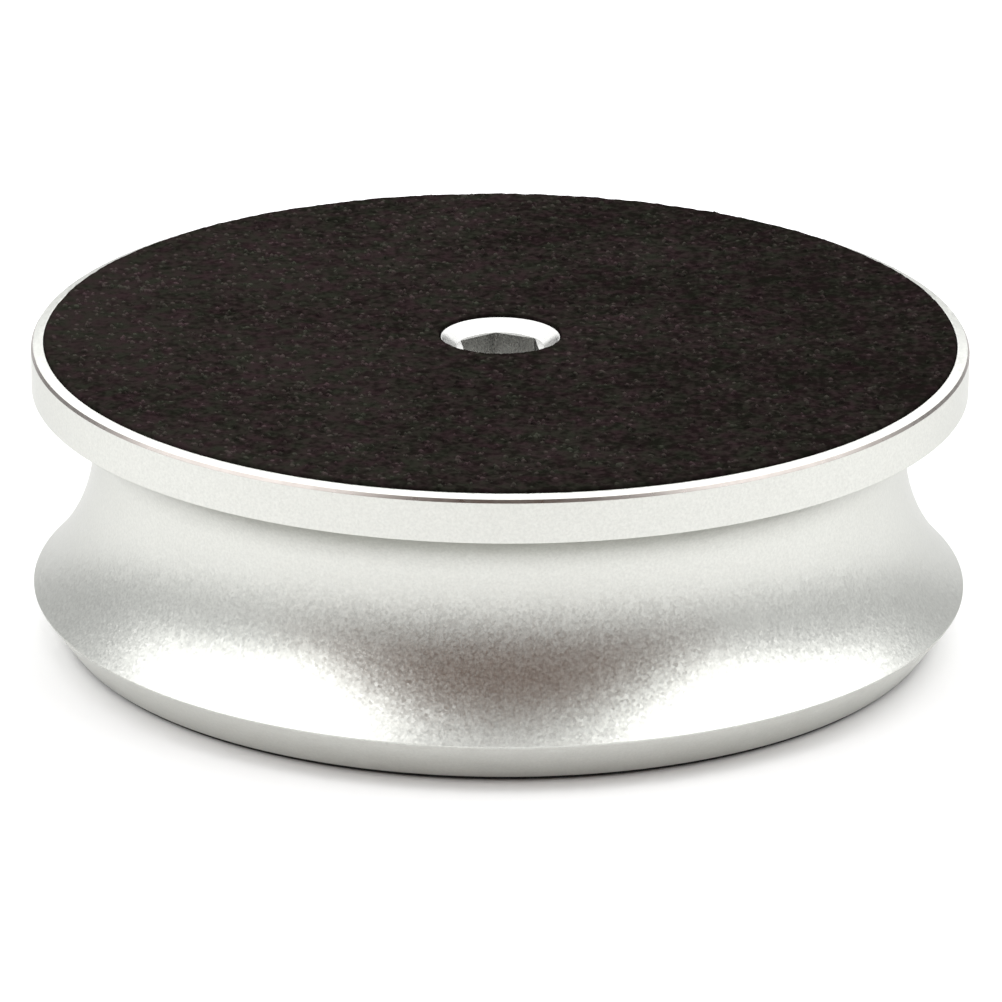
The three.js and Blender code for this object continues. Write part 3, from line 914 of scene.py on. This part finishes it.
def make_cover_screws():
    """Countersunk, head down, with a hexagon socket and a fine thread."""
    low, high = bottom_of("cover_screw_1"), top_of("cover_screw_1")
    head, shank, pitch = 2.8, 1.5, 0.5
    socket_width, socket_depth, drill_point = 2, 1.1, 1.25
    edge = 0.08
    thread_bottom, thread_top = low + head - shank + 0.2, high - 0.35
    thread_rows = 66

    def outline(angle):
        side = hexagon(socket_width, angle)
        points = [(0, low + drill_point), (side, low + socket_depth), (side, low + edge)]
        points += [(side + 0.12, low), (head - edge, low), (head, low + edge)]
        points.append((shank, low + edge + head - shank))
        for row in range(thread_rows + 1):
            z = thread_bottom + (thread_top - thread_bottom) * row / thread_rows
            points.append((thread_radius(shank, pitch, angle, z), z))
        points += [(shank - 0.5, high), (0, high)]
        return points

    for number, (x, y) in enumerate(screw_places(), 1):
        obj = moved(turned(f"countersunk_screw_{number}", outline, SCREW_SEGMENTS), x, y)
        place(paint(obj, BLACK_STEEL), "base", "black_steel", f"cover_screw_{number}")


def make_base_pad():
    low, high = bottom_of("base_pad"), top_of("base_pad")
    outer = radius_of("base_pad")
    outline = rounded([(0, low), (outer, low, 0.2), (outer, high, 0.1), (0, high)])
    obj = paint(turned("rubber_foot_pad", outline), FOOT_RUBBER)
    return place(obj, "base", "foot_rubber", "base_pad")


make_platter()
make_pad()
make_film("upper_film", PAD_HOLE + 1, radius_of("pad_adhesive"), "pad_adhesive", "platter")
make_pivot_screw()
make_inner_ring()
make_clamp_washer()
make_spring_washer()
make_lock_nut()
make_cage()
make_balls()
make_base_body()
make_outer_ring()
make_shield("upper_shield", "bearing_shield_upper")
make_shield("lower_shield", "bearing_shield_lower")
make_retaining_ring()
make_bottom_cover()
make_cover_screws()
make_film("lower_film", 0, radius_of("base_pad_adhesive"), "base_pad_adhesive", "base")
make_base_pad()


# ---- Studio --------------------------------------------------------------------------------------


def look_at(obj, target, roll=0.0):
    """Turns a camera or light to face a place, and rolls it about its own view."""
    direction = Vector(target) - obj.location
    turn = direction.to_track_quat("-Z", "Y").to_matrix().to_4x4()
    obj.rotation_euler = (turn @ Matrix.Rotation(roll, 4, "Z")).to_euler()


def towards(azimuth, elevation):
    """A direction from the stand. Azimuth 0 is the front, and turns towards +X."""
    level = math.cos(elevation)
    return Vector((math.sin(azimuth) * level, -math.cos(azimuth) * level, math.sin(elevation)))


def make_camera():
    """A long lens, looking down at the front of the stand, with a slight roll."""
    elevation = math.radians(18.97)
    distance = 0.8565  # from the middle of the platter's top
    target = (0.00019, 0, 0.0135)
    data = bpy.data.cameras.new("camera")
    data.lens = 288.6
    data.clip_end = 50
    camera = new_object("camera", data)
    top = Vector((0, 0, METAL_TOP * MM))
    camera.location = top + distance * towards(0, elevation)
    look_at(camera, target, math.radians(0.4))
    bpy.context.scene.camera = camera


def make_softbox(name, azimuth, elevation, distance, width, height, radiance):
    """A rectangular light that faces the stand, and that the camera doesn't see."""
    data = bpy.data.lights.new(name, "AREA")
    data.shape = "RECTANGLE"
    data.size, data.size_y = width, height
    data.energy = radiance * math.pi * width * height
    light = new_object(name, data)
    light.location = distance * towards(math.radians(azimuth), math.radians(elevation))
    look_at(light, (0, 0, 0.02))
    light.visible_camera = False


def make_dark_card():
    """A dark cloth that curves up behind the camera and over, narrowing as it rises."""
    distance = 1.5
    lowest, climb = math.radians(11.5), math.radians(40)
    widest, narrowing = math.radians(61), math.radians(42)  # half of the card's width
    rows = across = 24
    mesh = bpy.data.meshes.new("dark_card")
    bm = bmesh.new()
    grid = []
    for i in range(across + 1):
        column = []
        for j in range(rows + 1):
            share = j / rows
            elevation = lowest + climb * share
            azimuth = (widest - narrowing * share) * (2 * i / across - 1)
            column.append(bm.verts.new(distance * towards(azimuth, elevation)))
        grid.append(column)
    for i in range(across):
        for j in range(rows):
            bm.faces.new((grid[i][j], grid[i + 1][j], grid[i + 1][j + 1], grid[i][j + 1]))
    bm.to_mesh(mesh)
    bm.free()
    mesh.shade_smooth()
    card = new_object("dark_card", mesh)
    shader = Shader("dark_cloth", Roughness=1.0)
    shader.color(shader.spread(shader.noise(60), 0, 1), (0.08, 0.025, 0.005), (0.095, 0.035, 0.01))
    paint(card, shader.material)
    card.visible_camera = False


def make_floor():
    mesh = bpy.data.meshes.new("floor")
    half = 6
    corners = [(-half, -half, 0), (half, -half, 0), (half, half, 0), (-half, half, 0)]
    mesh.from_pydata(corners, [], [(0, 1, 2, 3)])
    floor = new_object("floor", mesh)
    shader = Shader("pale_floor", Roughness=0.9)
    shader.principled.inputs["Specular IOR Level"].default_value = 0.1
    shader.principled.inputs["Base Color"].default_value = (0.83, 0.83, 0.83, 1)
    paint(floor, shader.material)


def make_world():
    world = bpy.data.worlds.new("studio")
    world.use_nodes = True
    background = world.node_tree.nodes["Background"]
    background.inputs["Color"].default_value = (0.98, 0.99, 1.0, 1)
    background.inputs["Strength"].default_value = 0.575
    bpy.context.scene.world = world


make_camera()
make_softbox("left_softbox", -75, 44, 1.25, 1.3, 0.95, 2.4)
make_softbox("right_softbox", 85, 46, 1.25, 1.35, 0.95, 2.4)
make_softbox("back_softbox", 180, 61, 1.3, 2.1, 2.5, 1.62)
make_dark_card()
make_floor()
make_world()
bpy.context.scene.view_settings.view_transform = "Standard"
